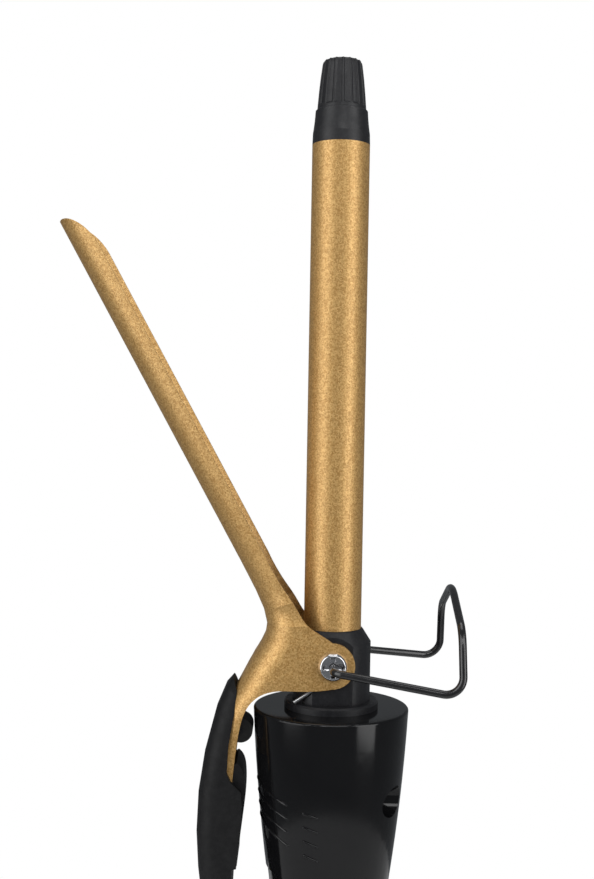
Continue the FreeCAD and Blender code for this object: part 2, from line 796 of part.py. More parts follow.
def make_stand():
    side = size("stand_side")
    reach = size("stand_reach")
    drop = size("stand_drop")
    rise = size("stand_rise")
    near = [
        Vector(0, -9.5, 0),
        Vector(0, -side, 0),
        Vector(reach, -size("stand_corner_side"), -drop),
        Vector(reach - 0.2, -23.0, 12.2),
    ]
    apex = Vector(reach - 0.3, 0, rise + 0.7)
    far = [Vector(point.x, -point.y, point.z) for point in reversed(near)]
    pin_bend = size("stand_pin_bend")
    corner_bend = size("stand_corner_bend")
    radii = [pin_bend, corner_bend, 8.0, 16.0, 8.0, corner_bend, pin_bend]
    path = rounded_path(near + [apex] + far, radii)
    wire = wire_along(path, size("stand_wire_radius"))
    node(feature("stand_wire_form", wire), "stand_wire")


def handle_outline(inset):
    """The handle's outer line from the rim down, moved inwards by inset."""
    shift = f" - {inset}"
    return [
        ("rim_radius" + shift, "handle_top - rim_edge"),
        ("shoulder_radius" + shift, "shoulder_height", "-waist_curve"),
        ("waist_radius" + shift, "waist_height", "-foot_curve"),
        ("foot_radius" + shift, "handle_foot"),
    ]


def half_handle(name, backwards):
    rim, shoulder, waist, foot = handle_outline("0")
    wall_rim, wall_shoulder, wall_waist, wall_foot = handle_outline("handle_wall")
    corners = [
        ("9.6", "handle_top"),
        ("rim_radius - rim_edge", "handle_top", "rim_edge"),
        (rim[0], rim[1], "shoulder_curve"),
        shoulder,
        waist,
        foot,
        (wall_foot[0], wall_foot[1], "foot_curve"),
        (wall_waist[0], wall_waist[1], "waist_curve"),
        (wall_shoulder[0], wall_shoulder[1], "-shoulder_curve"),
        (wall_rim[0], "handle_top - deck_thickness"),
        ("9.6", "handle_top - deck_thickness"),
    ]
    return turned(name, corners, 180.0, "YZ_Plane", backwards)


def handle_core(name, inset):
    """The handle's solid form, used to trim what is moulded inside it and to sink what is cut into it."""
    rim, shoulder, waist, foot = handle_outline(inset)
    corners = [
        ("0", "handle_top - 1"),
        (rim[0], rim[1] + " - 0.4", "shoulder_curve"),
        shoulder,
        waist,
        foot,
        ("0", "handle_foot"),
    ]
    return turned(name, corners)


SCREW_SITES = (
    ("-upper_boss_side", "upper_boss_height"),
    ("upper_boss_side", "upper_boss_height"),
    ("0", "lower_boss_height"),
)


def make_handle():
    left = half_handle("left_half", False)
    right = half_handle("right_half", True)
    bosses_left = []
    bosses_right = []
    pilots = []
    through = []
    screws = []
    for index, (side, height) in enumerate(SCREW_SITES):
        bosses_left.append(
            cylinder(f"boss_left_{index}", "3.6", "25", x="-25", y=side, z=height, turn=ALONG_X)
        )
        bosses_right.append(
            cylinder(f"boss_right_{index}", "boss_radius", "25", y=side, z=height, turn=ALONG_X)
        )
        pilots.append(
            cylinder(f"pilot_{index}", "handle_screw_radius", "9.5", x="-9.5", y=side, z=height,
                     turn=ALONG_X)
        )
        through.append(
            cylinder(f"through_{index}", "handle_screw_radius + 0.1", "12", x="-1", y=side, z=height,
                     turn=ALONG_X)
        )
        through.append(
            cylinder(f"head_bore_{index}", "head_bore", "25", x="boss_seat", y=side, z=height, turn=ALONG_X)
        )
        shank = cylinder(f"handle_shank_{index}", "handle_screw_radius", "handle_screw_reach + boss_seat",
                         x="-handle_screw_reach", y=side, z=height, turn=ALONG_X)
        head = cylinder(f"handle_head_{index}", "handle_screw_head", "2.2", x="boss_seat", y=side, z=height,
                        turn=ALONG_X)
        slot = box(f"handle_slot_{index}", ("boss_seat + 1.2", "boss_seat + 3"),
                   (f"{side} - 2.2", f"{side} + 2.2"), (f"{height} - 0.4", f"{height} + 0.4"))
        cross = box(f"handle_cross_{index}", ("boss_seat + 1.2", "boss_seat + 3"),
                    (f"{side} - 0.4", f"{side} + 0.4"), (f"{height} - 2.2", f"{height} + 2.2"))
        screws.append(cut(f"handle_screw_{index}", fuse(f"screw_solid_{index}", shank, head), slot, cross))

    core = handle_core("core_for_bosses", "1")
    rails = [
        box("rail_" + name, ("-board_front - 1.8", "-board_front + board_thickness + 1.6"), reach,
            ("board_foot - 1", "board_top + 1"))
        for name, reach in (
            ("near", ("-14", "-board_half_width + 1")),
            ("far", ("board_half_width - 1", "14")),
        )
    ]
    inside_left = doc.addObject("Part::Common", "inside_left")
    inside_left.Base = fuse("left_mouldings", *bosses_left, *rails)
    inside_left.Tool = core
    inside_right = doc.addObject("Part::Common", "inside_right")
    inside_right.Base = fuse("right_mouldings", *bosses_right)
    inside_right.Tool = handle_core("core_for_right_bosses", "1")

    recess = cut(
        "recess",
        padded_from("recess_block", recess_outline(), "-30", "30"),
        handle_core("recess_floor", "recess_depth"),
    )
    seat = padded_from(
        "plate_seat",
        rounded_rectangle("plate_half_width + 0.05", "plate_foot - 0.05", "plate_top + 0.05",
                          "plate_corner"),
        "-20",
        "20 - plate_back",
    )
    window = box("plate_window", ("-17", "-8"), ("-5.9", "5.9"), ("plate_foot + 2.5", "plate_top - 1.1"))
    groove = box("board_groove", ("-board_front - 0.05", "-board_front + board_thickness + 0.05"),
                 ("-board_half_width - 0.05", "board_half_width + 0.05"),
                 ("board_foot - 0.05", "board_top + 2"))
    left_body = fuse("left_solid", left, inside_left)
    node(cut("left_shell", left_body, recess, seat, window, groove, *pilots), "handle_shell_left")
    node(cut("right_shell", fuse("right_solid", right, inside_right), *through), "handle_shell_right")
    node(group("handle_screw_set", *screws), "handle_screws")


def rounded_rectangle(half_width, low, high, corner):
    """Corners of a rounded rectangle about the vertical axis, for a sketch in the YZ plane."""
    inner = f"({half_width}) - {corner}"
    arc = "-" + corner
    return [
        (f"-({inner})", low),
        (inner, low, arc),
        (f"{half_width}", f"({low}) + {corner}"),
        (f"{half_width}", f"({high}) - {corner}", arc),
        (inner, high),
        (f"-({inner})", high, arc),
        (f"-({half_width})", f"({high}) - {corner}"),
        (f"-({half_width})", f"({low}) + {corner}", arc),
    ]


def recess_outline():
    """The sunk panel on the thumb's side: rounded corners, and narrower from the waist down."""
    wide = "recess_top_half_width"
    narrow = "recess_half_width"
    arc = "-recess_corner"
    right = [
        (f"{narrow} - recess_corner", "recess_foot", arc),
        (narrow, "recess_foot + recess_corner"),
        (narrow, "waist_height"),
        (wide, "recess_top - recess_corner", arc),
        (f"{wide} - recess_corner", "recess_top"),
    ]
    left = [
        (f"-({wide} - recess_corner)", "recess_top", arc),
        (f"-{wide}", "recess_top - recess_corner"),
        (f"-{narrow}", "waist_height"),
        (f"-{narrow}", "recess_foot + recess_corner", arc),
        (f"-({narrow} - recess_corner)", "recess_foot"),
    ]
    return right + left


def padded_from(name, corners, start, depth):
    """A body padded along +X from a plane at x = start."""
    body = doc.addObject("PartDesign::Body", name)
    sketch = outline_sketch(body, name + "_outline", "YZ_Plane", corners)
    sketch.AttachmentOffset = FreeCAD.Placement(Vector(0, 0, size(start)), UPRIGHT)
    sketch.setExpression(".AttachmentOffset.Base.z", bound(start))
    solid = body.newObject("PartDesign::Pad", name + "_pad")
    solid.Profile = sketch
    solid.setExpression("Length", bound(depth))
    return body


def make_controls():
    plate = padded_from(
        "plate_pad",
        rounded_rectangle("plate_half_width", "plate_foot", "plate_top", "plate_corner"),
        "-plate_face",
        "plate_face - plate_back",
    )
    through_plate = ("-plate_face - 1", "-plate_back + 1")
    rocker_window = box(
        "rocker_window",
        through_plate,
        ("-rocker_half_width - 0.3", "rocker_half_width + 0.3"),
        ("rocker_height - rocker_half_length - 0.5", "rocker_height + rocker_half_length + 0.5"),
    )
    pin_half = "rocker_half_width + 1.0"
    sockets = cylinder("pin_sockets", "rocker_pin + running_fit", f"2 * ({pin_half}) + 0.1",
                       x="-rocker_axis",
                       y=f"-({pin_half}) - 0.05", z="rocker_height", turn=ALONG_Y)
    lens_hole = cylinder("lens_hole", "lens_radius + 0.05", "6", x="-plate_face - 1", z="lens_height",
                         turn=ALONG_X)
    shaft_hole = cylinder("shaft_hole", "dial_shaft + 0.5", "6", x="-plate_face - 1", z="dial_height",
                          turn=ALONG_X)
    node(cut("plate", plate, rocker_window, sockets, lens_hole, shaft_hole), "switch_plate")

    case = box("switch_case", ("-plate_back + 0.05", "-board_front - 0.05"), ("-4.9", "4.9"),
               ("rocker_height - 7.2", "rocker_height + 7.2"))
    cavity = box("switch_cavity", ("-plate_back - 1", "-plate_back + 1.6"), ("-4.1", "4.1"),
                 ("rocker_height - 6.3", "rocker_height + 6.3"))
    node(cut("switch_box", case, cavity), "switch_body")

    rocker = padded(
        "rocker_pad",
        [
            ("-plate_face - 0.7", "rocker_height + rocker_half_length"),
            ("-plate_face - 0.1", "rocker_height"),
            ("-plate_face - 0.7", "rocker_height - rocker_half_length"),
            ("-plate_face + 0.9", "rocker_height - rocker_half_length"),
            ("-plate_back - 0.1", "rocker_height - 3"),
            ("-plate_back - 0.1", "rocker_height + 3"),
            ("-plate_face + 0.9", "rocker_height + rocker_half_length"),
        ],
        "2 * rocker_half_width",
    )
    axis_point = Vector(-size("rocker_axis"), 0, size("rocker_height"))
    rocker.Placement = FreeCAD.Placement(
        Vector(0, 0, 0), Rotation(Vector(0, 1, 0), size("rocker_tilt")), axis_point
    )
    pins = cylinder("rocker_pins", "rocker_pin", f"2 * ({pin_half})", x="-rocker_axis", y=f"-({pin_half})",
                    z="rocker_height", turn=ALONG_Y)
    node(fuse("rocker", rocker, pins), "switch_rocker")

    lens = fuse(
        "lens",
        cylinder("lens_barrel", "lens_radius", "2.9", x="-plate_face - 0.2", z="lens_height", turn=ALONG_X),
        cone("lens_crown", "lens_radius - 0.7", "lens_radius", "0.5", x="-plate_face - 0.7", z="lens_height",
             turn=ALONG_X),
    )
    node(lens, "light_lens")
    led_length = "plate_back - board_front - 0.2"
    node(cylinder("led", "1.5", led_length, x="-plate_back + 0.15", z="lens_height", turn=ALONG_X),
         "indicator_led")

    board = box("board", ("-board_front", "-board_front + board_thickness"),
                ("-board_half_width", "board_half_width"), ("board_foot", "board_top"))
    node(board, "circuit_board")
    pot = cylinder("pot_case", "5", "4.4", x="-board_front - 4.4", z="dial_height", turn=ALONG_X)
    pot_bore = cylinder("pot_bore", "dial_shaft + running_fit", "3.6", x="-board_front - 4.5",
                        z="dial_height", turn=ALONG_X)
    node(cut("pot", pot, pot_bore), "potentiometer")
    shaft = cylinder("pot_shaft", "dial_shaft", "dial_face - board_front - 3.6", x="-dial_face + 2",
                     z="dial_height", turn=ALONG_X)
    node(shaft, "potentiometer_shaft")
    knob = fuse(
        "knob_solid",
        cylinder("knob_skirt", "dial_radius", "dial_face - dial_back - 0.6", x="-dial_face + 0.6",
                 z="dial_height", turn=ALONG_X),
        cone("knob_crown", "dial_radius - 0.6", "dial_radius", "0.6", x="-dial_face", z="dial_height",
             turn=ALONG_X),
    )
    knob_bore = cylinder("knob_bore", "dial_shaft", "6", x="-dial_face + 2", z="dial_height", turn=ALONG_X)
    pointer = box("knob_pointer", ("-dial_face - 1", "-dial_face + 0.5"), ("-0.5", "0.5"),
                  ("dial_height + 2.5", "dial_height + dial_radius + 1"))
    node(cut("knob", knob, knob_bore, pointer), "temperature_dial")


def make_outlet():
    cap = turned(
        "cap",
        [
            ("outlet_radius + 0.1", "cap_foot"),
            ("foot_radius - 4.2", "cap_foot", "-5.2"),
            ("foot_radius", "cap_foot + 5"),
            ("foot_radius", "handle_foot"),
            ("foot_radius - handle_wall - 0.05", "handle_foot"),
            ("foot_radius - handle_wall - 0.35", "handle_foot + 3"),
            ("foot_radius - handle_wall - 1.6", "handle_foot + 3"),
            ("foot_radius - handle_wall - 1.6", "cap_foot + 3"),
            ("outlet_radius + 0.1", "cap_foot + 3"),
        ],
    )
    node(cap, "end_cap")
    socket = turned(
        "socket",
        [
            ("5.0", "cap_foot + 5.8"),
            ("foot_radius - handle_wall - 1.65", "cap_foot + 5.8"),
            ("foot_radius - handle_wall - 1.65", "handle_foot + 3"),
            ("5.0", "handle_foot + 3"),
        ],
    )
    node(socket, "swivel_socket")
    rings = []
    for index, low in enumerate(("cap_foot + 6.6", "cap_foot + 8.6")):
        outside = cylinder(f"ring_outside_{index}", "5.0", "1.2", z=low)
        inside = cylinder(f"ring_inside_{index}", "4.26", "3", z=f"{low} - 1")
        rings.append(cut(f"ring_{index}", outside, inside))
    node(group("rings", *rings), "swivel_rings")

    rib_pitch = "(cap_foot - outlet_foot) / 6"
    corners = [
        ("cord_bore", "outlet_foot"),
        ("outlet_foot_radius", "outlet_foot"),
    ]
    for index in range(5):
        low = f"outlet_foot + {rib_pitch} * {index} + 1.2"
        radius = f"outlet_foot_radius + {0.3 * index + 0.1:.1f}"
        corners += [
            (radius, low),
            (f"{radius} - 0.6", f"{low} + 0.5"),
            (f"{radius} - 0.6", f"{low} + 1.3"),
            (f"{radius} + 0.1", f"{low} + 1.8"),
        ]
    corners += [
        ("outlet_radius", "cap_foot - 1.5"),
        ("outlet_radius", "cap_foot + 3.2"),
        ("9.6", "cap_foot + 3.2"),
        ("9.6", "cap_foot + 5.6"),
        ("cord_bore", "cap_foot + 5.6"),
    ]
    node(turned("outlet", corners), "cord_swivel")
    contact = cut(
        "contact_tube",
        cylinder("contact_outside", "4.2", "handle_foot - cap_foot - 3", z="cap_foot + 5.6"),
        cylinder("contact_inside", "cord_bore", "12", z="cap_foot + 4.6"),
    )
    node(contact, "swivel_contact")


def check_and_write():
    """Stop on anything that failed to build, then write one file for each node."""
    doc.recompute()
    failed = [piece.Name for piece in doc.Objects if {"Invalid", "Error"} & set(piece.State)]
    failed += [piece.Label for piece in nodes if piece.Shape.isNull() or not piece.Shape.isValid()]
    if failed:
        raise RuntimeError("these did not build: " + ", ".join(failed))
    os.makedirs("parts", exist_ok=True)
    for piece in nodes:
        solids = len(piece.Shape.Solids)
        print(f"{piece.Label}: {solids} solid(s), {piece.Shape.Volume:.0f} mm3")
        piece.Shape.exportStep(f"parts/{piece.Label}.step")


fill_sheet()
make_barrel_and_tip()
make_heater()
make_neck()
make_clamp()
make_spring()
make_stand()
make_handle()
make_controls()
make_outlet()
check_and_write()
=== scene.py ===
import json
import math

import bmesh
import bpy
from mathutils import Matrix, Vector
from mathutils.bvhtree import BVHTree


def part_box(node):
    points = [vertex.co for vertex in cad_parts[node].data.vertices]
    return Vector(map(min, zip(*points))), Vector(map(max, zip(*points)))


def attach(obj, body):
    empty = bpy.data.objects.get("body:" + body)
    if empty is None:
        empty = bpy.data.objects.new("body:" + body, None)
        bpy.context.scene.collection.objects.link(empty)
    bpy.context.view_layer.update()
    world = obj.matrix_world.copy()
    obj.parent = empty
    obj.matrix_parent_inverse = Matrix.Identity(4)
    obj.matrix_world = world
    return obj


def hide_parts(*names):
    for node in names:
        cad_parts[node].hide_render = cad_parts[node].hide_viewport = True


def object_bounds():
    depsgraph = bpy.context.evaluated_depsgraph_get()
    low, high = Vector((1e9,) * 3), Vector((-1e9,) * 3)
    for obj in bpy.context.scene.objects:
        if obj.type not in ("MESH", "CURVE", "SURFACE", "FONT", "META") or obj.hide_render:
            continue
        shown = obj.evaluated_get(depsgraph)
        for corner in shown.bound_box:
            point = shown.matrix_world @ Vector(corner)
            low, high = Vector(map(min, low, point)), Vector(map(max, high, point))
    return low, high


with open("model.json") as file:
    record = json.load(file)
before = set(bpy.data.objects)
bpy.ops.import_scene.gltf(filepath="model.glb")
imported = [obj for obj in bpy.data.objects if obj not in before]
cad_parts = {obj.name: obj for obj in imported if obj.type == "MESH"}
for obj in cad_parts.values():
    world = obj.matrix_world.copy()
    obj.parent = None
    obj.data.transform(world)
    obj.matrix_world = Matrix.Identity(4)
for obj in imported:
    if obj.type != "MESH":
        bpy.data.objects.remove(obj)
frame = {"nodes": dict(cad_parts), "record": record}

# A spring-clamp curling iron standing up. Lengths are in metres in the frame of the CAD: +Z runs up the
# barrel, the clamp opens towards -X and the origin is on the handle's axis.

MM = 0.001
PIVOT_HEIGHT = 75 * MM
CAD_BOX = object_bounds()
NODES = frame["nodes"]


# ---- materials -------------------------------------------------------------------------------------

class Look:
    """A node material with a Principled shader, built up a node at a time."""

    def __init__(self, name, colour, roughness, metallic=0.0, **sockets):
        self.material = bpy.data.materials.new(name)
        self.material.use_nodes = True
        self.tree = self.material.node_tree
        self.shader = self.tree.nodes["Principled BSDF"]
        self.colour = colour
        self.shader.inputs["Base Color"].default_value = (*colour, 1)
        self.shader.inputs["Roughness"].default_value = roughness
        self.shader.inputs["Metallic"].default_value = metallic
        for socket, value in sockets.items():
            self.shader.inputs[socket.replace("_", " ")].default_value = value
        self.place = self.tree.nodes.new("ShaderNodeTexCoord").outputs["Object"]

    def noise(self, scale, detail=3.0, stretch=(1, 1, 1)):
        """Noise of about one blob per 1/scale metres; stretch makes it longer along an axis."""
        mapping = self.tree.nodes.new("ShaderNodeMapping")
        mapping.inputs["Scale"].default_value = [1 / s for s in stretch]
        noise = self.tree.nodes.new("ShaderNodeTexNoise")
        noise.inputs["Scale"].default_value = scale
        noise.inputs["Detail"].default_value = detail
        self.tree.links.new(self.place, mapping.inputs["Vector"])
        self.tree.links.new(mapping.outputs["Vector"], noise.inputs["Vector"])
        return noise.outputs["Fac"]

    def cells(self, scale):
        """A random grey for each cell, 1/scale metres across, as in metal flake."""
        cells = self.tree.nodes.new("ShaderNodeTexVoronoi")
        cells.inputs["Scale"].default_value = scale
        self.tree.links.new(self.place, cells.inputs["Vector"])
        return cells.outputs["Color"]

    def spread(self, source, low, high, low_in=0.3, high_in=0.7):
        """source from low_in to high_in becomes low to high."""
        node = self.tree.nodes.new("ShaderNodeMapRange")
        node.inputs["From Min"].default_value = low_in
        node.inputs["From Max"].default_value = high_in
        node.inputs["To Min"].default_value = low
        node.inputs["To Max"].default_value = high
        self.tree.links.new(source, node.inputs["Value"])
        return node.outputs["Result"]

    def vary_colour(self, source, other, low_in=0.3, high_in=0.7):
        """The base colour goes to the other one as source rises."""
        ramp = self.tree.nodes.new("ShaderNodeValToRGB")
        ramp.color_ramp.elements[0].position = low_in
        ramp.color_ramp.elements[0].color = (*self.colour, 1)
        ramp.color_ramp.elements[1].position = high_in
        ramp.color_ramp.elements[1].color = (*other, 1)
        self.tree.links.new(source, ramp.inputs["Fac"])
        self.tree.links.new(ramp.outputs["Color"], self.shader.inputs["Base Color"])

    def vary_roughness(self, source, low, high):
        self.tree.links.new(self.spread(source, low, high), self.shader.inputs["Roughness"])

    def bump(self, source, height, strength=1.0):
        bump = self.tree.nodes.new("ShaderNodeBump")
        bump.inputs["Distance"].default_value = height
        bump.inputs["Strength"].default_value = strength
        self.tree.links.new(source, bump.inputs["Height"])
        self.tree.links.new(bump.outputs["Normal"], self.shader.inputs["Normal"])


def gold_enamel():
    look = Look("gold_flake_enamel", (0.4, 0.215, 0.06), 0.46, metallic=0.6, Coat_Weight=0.15)
    look.shader.inputs["Coat Roughness"].default_value = 0.22
    look.vary_colour(look.cells(3000), (0.66, 0.415, 0.155), 0.15, 0.85)
    look.vary_roughness(look.noise(900), 0.38, 0.52)
    look.bump(look.cells(3000), 0.00006, 0.45)
    return look.material


def black_gloss():
    look = Look("black_gloss_plastic", (0.004, 0.004, 0.0045), 0.09, Specular_IOR_Level=0.32)
    look.vary_colour(look.noise(60), (0.006, 0.006, 0.0065))
    look.vary_roughness(look.noise(25, stretch=(1, 1, 4)), 0.06, 0.13)
    look.bump(look.noise(90, 1.0), 0.00004, 0.25)
    return look.material


def black_satin():
    look = Look("black_satin_plastic", (0.009, 0.009, 0.0105), 0.42, Specular_IOR_Level=0.34)
    look.vary_colour(look.noise(1600), (0.016, 0.016, 0.018), 0.4, 0.75)
    look.vary_roughness(look.noise(300), 0.36, 0.5)
    look.bump(look.noise(2600), 0.00005, 0.5)
    return look.material


def black_grip():
    look = Look("black_matte_grip", (0.005, 0.005, 0.0055), 0.55, Specular_IOR_Level=0.22)
    look.vary_colour(look.noise(700), (0.009, 0.009, 0.0095), 0.35, 0.75)
    look.vary_roughness(look.noise(200), 0.48, 0.64)
    look.bump(look.noise(2200), 0.00006, 0.55)
    return look.material


def rocker_plastic():
    look = Look("grey_rocker_plastic", (0.035, 0.035, 0.037), 0.34)
    look.vary_colour(look.noise(400), (0.05, 0.05, 0.053))
    look.vary_roughness(look.noise(250), 0.28, 0.42)
    look.bump(look.noise(1800), 0.00004, 0.4)
    return look.material


def black_rubber():
    look = Look("black_rubber", (0.008, 0.008, 0.008), 0.62)
    look.vary_colour(look.noise(350), (0.02, 0.02, 0.02), 0.45, 0.8)
    look.vary_roughness(look.noise(150), 0.55, 0.75)
    look.bump(look.noise(1500), 0.00006, 0.5)
    return look.material


def black_coated_wire():
    look = Look("black_coated_wire", (0.007, 0.007, 0.0075), 0.2, Coat_Weight=0.3)
    look.vary_colour(look.noise(500), (0.013, 0.013, 0.014))
    look.vary_roughness(look.noise(200), 0.15, 0.28)
    look.bump(look.noise(500), 0.00003, 0.12)
    return look.material


def metal(name, colour, other, roughness, brushed=(1, 1, 1)):
    look = Look(name, colour, roughness, metallic=1.0)
    look.vary_colour(look.noise(300, stretch=brushed), other)
    look.vary_roughness(look.noise(700, stretch=brushed), roughness * 0.75, roughness * 1.35)
    look.bump(look.noise(1200, stretch=brushed), 0.00003, 0.3)
    return look.material


def plain_solid(name, colour, other, roughness, grain, **sockets):
    """Ceramic, board, film and the like: fine grain in the colour, the gloss and the surface."""
    look = Look(name, colour, roughness, **sockets)
    look.vary_colour(look.noise(grain), other)
    look.vary_roughness(look.noise(grain / 3), roughness * 0.8, roughness * 1.25)
    look.bump(look.noise(grain * 2), 0.00003, 0.3)
    return look.material


def make_looks():
    """A finished material for each of the record's slots."""
    return {
        "gold_enamel": gold_enamel(),
        "black_gloss": black_gloss(),
        "black_satin": black_satin(),
        "black_grip": black_grip(),
        "rocker_plastic": rocker_plastic(),
        "black_rubber": black_rubber(),
        "black_coated_wire": black_coated_wire(),
        "chrome_screw": metal("chromed_screw", (0.62, 0.62, 0.64), (0.72, 0.72, 0.73), 0.16),
        "steel": metal("spring_steel", (0.5, 0.5, 0.51), (0.62, 0.62, 0.62), 0.3),
        "aluminium": metal("cast_aluminium", (0.6, 0.61, 0.62), (0.7, 0.71, 0.72), 0.38, (1, 1, 8)),
        "heater_ceramic": plain_solid("heater_ceramic", (0.55, 0.53, 0.48), (0.66, 0.64, 0.58), 0.6, 900),
        "amber_film": plain_solid(
            "amber_film", (0.55, 0.2, 0.03), (0.65, 0.27, 0.05), 0.2, 300, Transmission_Weight=0.35
        ),
        "glass_sleeve": plain_solid("glass_fibre_sleeve", (0.7, 0.68, 0.6), (0.8, 0.78, 0.7), 0.7, 2500),
        "red_lens": plain_solid(
            "red_lens", (0.4, 0.012, 0.01), (0.5, 0.02, 0.015), 0.12, 500, Transmission_Weight=0.5
        ),
        "board_green": plain_solid("board_green", (0.015, 0.12, 0.04), (0.02, 0.16, 0.055), 0.35, 700),
        "pot_blue": plain_solid("pot_blue", (0.02, 0.08, 0.32), (0.03, 0.11, 0.4), 0.35, 500),
        "contact_brass": metal("contact_brass", (0.62, 0.42, 0.16), (0.72, 0.5, 0.22), 0.28),
    }


def finish_node(node, look):
    """The look in every material slot of a CAD node, or in a new one if it has none."""
    for place in node.material_slots:
        place.material = look
    if not node.material_slots:
        node.data.materials.append(look)


def finish_nodes(looks):
    """The record's look on each node, and black on the buffer's pin, which the record calls steel."""
    for part in frame["record"]["subparts"]:
        finish_node(NODES[part["node"]], looks[part["material_slot"]])
    finish_node(NODES["bumper_pin"], looks["black_satin"])


# ---- pieces that the CAD leaves to this file -------------------------------------------------------

def mesh_object(name, verts, faces, look, body, smooth=True):
    mesh = bpy.data.meshes.new(name)
    mesh.from_pydata(verts, [], faces)
    mesh.update()
    mesh.materials.append(look)
    tidy = bmesh.new()
    tidy.from_mesh(mesh)
    bmesh.ops.recalc_face_normals(tidy, faces=tidy.faces)
    tidy.to_mesh(mesh)
    tidy.free()
    if smooth:
        mesh.shade_smooth()
    piece = bpy.data.objects.new(name, mesh)
    bpy.context.scene.collection.objects.link(piece)
    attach(piece, body)
    return piece


def ring_walls(base, rings, around):
    """The four-sided faces between rings of points that follow one another from the point base."""
    faces = []
    for ring in range(rings - 1):
        low = base + ring * around
        for step in range(around):
            after = (step + 1) % around
            faces.append((low + step, low + after, low + around + after, low + around + step))
    return faces


HANDLE_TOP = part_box("handle_shell_left")[1][2]
RAY_START = 100 * MM


def handle_skin():
    """The outside of both handle shells, to find the skin on with a ray."""
    skin = bmesh.new()
    for node in ("handle_shell_left", "handle_shell_right"):
        skin.from_mesh(NODES[node].data)
    tree = BVHTree.FromBMesh(skin)
    skin.free()
    return tree


def skin_radius(skin, angle, height):
    """How far the handle's skin is from the axis at an angle about +Z and a height."""
    start = Vector((math.cos(angle), math.sin(angle), 0)) * RAY_START + Vector((0, 0, height))
    hit = skin.ray_cast(start, Vector((-start.x, -start.y, 0)).normalized())[0]
    return math.hypot(hit.x, hit.y)


RIB_WIDTH = 0.95 * MM
RIB_PROUD = 0.34 * MM
RIB_SUNK = 0.25 * MM
RIB_TAPER = 0.09
RIB_THINNEST = 0.04


def rib(name, skin, look, start, stop, start_height, stop_height):
    """A rounded rib on the handle's skin from one angle about +Z and height to another.

    Its foot is sunk under the skin, and each end tapers over the share RIB_TAPER of its length.
    """
    steps = 22
    around = 8
    verts = []
    faces = []
    for step in range(steps + 1):
        share = step / steps
        angle = start + (stop - start) * share
        height = start_height + (stop_height - start_height) * share
        from_end = min(share, 1 - share, RIB_TAPER)
        taper = max(RIB_THINNEST, math.sin(math.pi * from_end / (2 * RIB_TAPER)))
        for turn in range(around + 1):
            across = math.pi * turn / around
            lift = -RIB_SUNK + (RIB_PROUD + RIB_SUNK) * math.sin(across) * taper
            z = height + math.cos(across) * RIB_WIDTH / 2 * taper
            radius = skin_radius(skin, angle, z) + lift
            verts.append((radius * math.cos(angle), radius * math.sin(angle), z))
    row = around + 1
    for step in range(steps):
        for turn in range(around):
            low = step * row + turn
            faces.append((low, low + 1, low + row + 1, low + row))
        faces.append((step * row + around, step * row, (step + 1) * row, (step + 1) * row + around))
    faces.append(tuple(range(row)))
    faces.append(tuple(reversed(range(steps * row, steps * row + row))))
    return mesh_object(name, verts, faces, look, "handle")


# RIB_START and RIB_END hold how far the first rib's ends are below the handle's top, then the step to the
# next rib. RIB_SPANS holds the angles of its two lengths from the thumb's centre line.
RIB_COUNT = 4
RIB_START = (19.0 * MM, 3.3 * MM)
RIB_END = (25.5 * MM, 4.0 * MM)
RIB_SPANS = (("a", 0.10, 0.97), ("b", 1.16, 1.40))


def make_ribs(look):
    """Four slanted grip ribs each side of the thumb's centre line, fanning out, each in two lengths."""
    skin = handle_skin()
    first = RIB_SPANS[0][1]
    last = RIB_SPANS[-1][2]
    for side, word in ((1, "near"), (-1, "far")):
        for index in range(RIB_COUNT):
            high = HANDLE_TOP - RIB_START[0] - index * RIB_START[1]
            low = HANDLE_TOP - RIB_END[0] - index * RIB_END[1]
            for part, start, stop in RIB_SPANS:
                heights = [high + (low - high) * (turn - first) / (last - first) for turn in (start, stop)]
                name = f"grip_rib_{word}_{index + 1}_{part}"
                rib(name, skin, look, math.pi + side * start, math.pi + side * stop, *heights)


FLUTE_COUNT = 16
FLUTE_DEPTH = 0.34 * MM
FLUTE_STEPS = 10
FLUTE_EDGE = 0.42
FLUTE_WALL = 0.12
PLAIN_LEVELS = 2
TIP_PROFILE = (
    (0, 6.75),
    (0.7, 6.7),
    (1.3, 6.66),
    (5, 6.35),
    (9, 5.95),
    (12.4, 5.5),
    (13.0, 5.35),
    (13.5, 4.95),
)


def make_cool_tip(look):
    """The finger tip: a taper with sharp ridges between flat-bottomed flutes, and a chamfered end."""
    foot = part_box("tip_collar")[1][2]
    around = FLUTE_COUNT * FLUTE_STEPS
    verts = []
    for level, (rise, radius) in enumerate(TIP_PROFILE):
        depth = FLUTE_DEPTH if level >= PLAIN_LEVELS else 0
        for step in range(around):
            turn = 2 * math.pi * step / around
            across = abs((step % FLUTE_STEPS) / FLUTE_STEPS - 0.5)
            sunk = min(1, max(0, (FLUTE_EDGE - across) / FLUTE_WALL))
            reach = radius * MM - depth * sunk
            verts.append((reach * math.cos(turn), reach * math.sin(turn), foot + rise * MM))
    faces = ring_walls(0, len(TIP_PROFILE), around)
    faces.append(tuple(range(around)))
    faces.append(tuple(range(len(verts) - around, len(verts))))
    tip = mesh_object("cool_tip_fluted", verts, faces, look, "handle", smooth=False)
    soften = tip.modifiers.new("soft_edges", "BEVEL")
    soften.width = 0.08 * MM
    soften.segments = 2
    soften.limit_method = "ANGLE"
    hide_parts("cool_tip")


